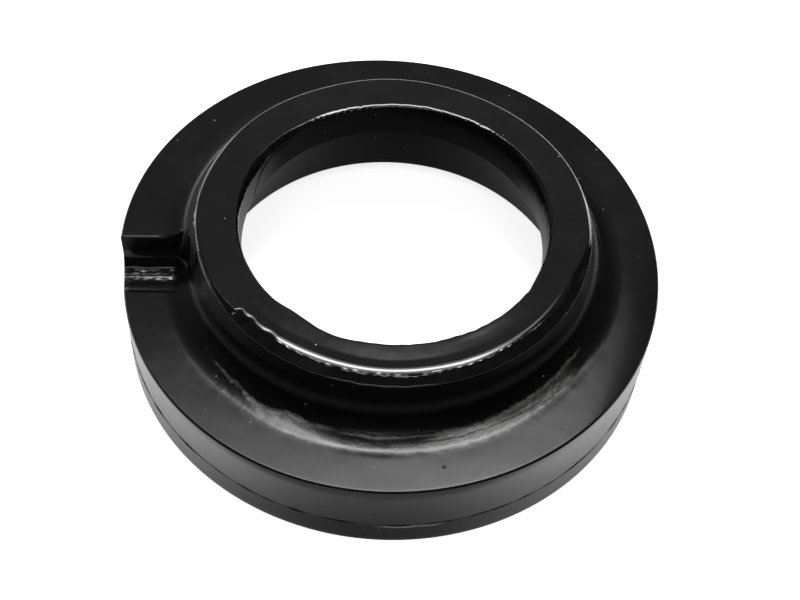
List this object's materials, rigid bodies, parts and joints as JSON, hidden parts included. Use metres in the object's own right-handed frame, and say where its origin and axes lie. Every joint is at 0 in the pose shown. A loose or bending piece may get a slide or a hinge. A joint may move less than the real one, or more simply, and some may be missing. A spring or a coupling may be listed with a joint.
{
  "type": "coil spring spacer",
  "caption": "Cast rubber ring spacer for a coil spring, with a helical seat that ends at a step with a wire stop pocket, a centring collar with an undercut rim, and a stepped bore.",
  "frame": {"origin": "centre of the flat underside, which is the foot that stands on the spring perch", "axes": "+Z along the bore axis, up from the perch towards the coil spring. -X towards the step where the wire ends, which stands 3.6 degrees past -X. The seat climbs anticlockwise from the step, seen from above"},
  "size_m": [0.151, 0.151, 0.0432],
  "materials": {
    "polyurethane": "black cast polyurethane: satin where it lay against the mould, glossy and slightly wavy on the poured top face"
  },
  "bodies": {
    "root": {"spring_spacer": "polyurethane"}
  },
  "joints": []
}
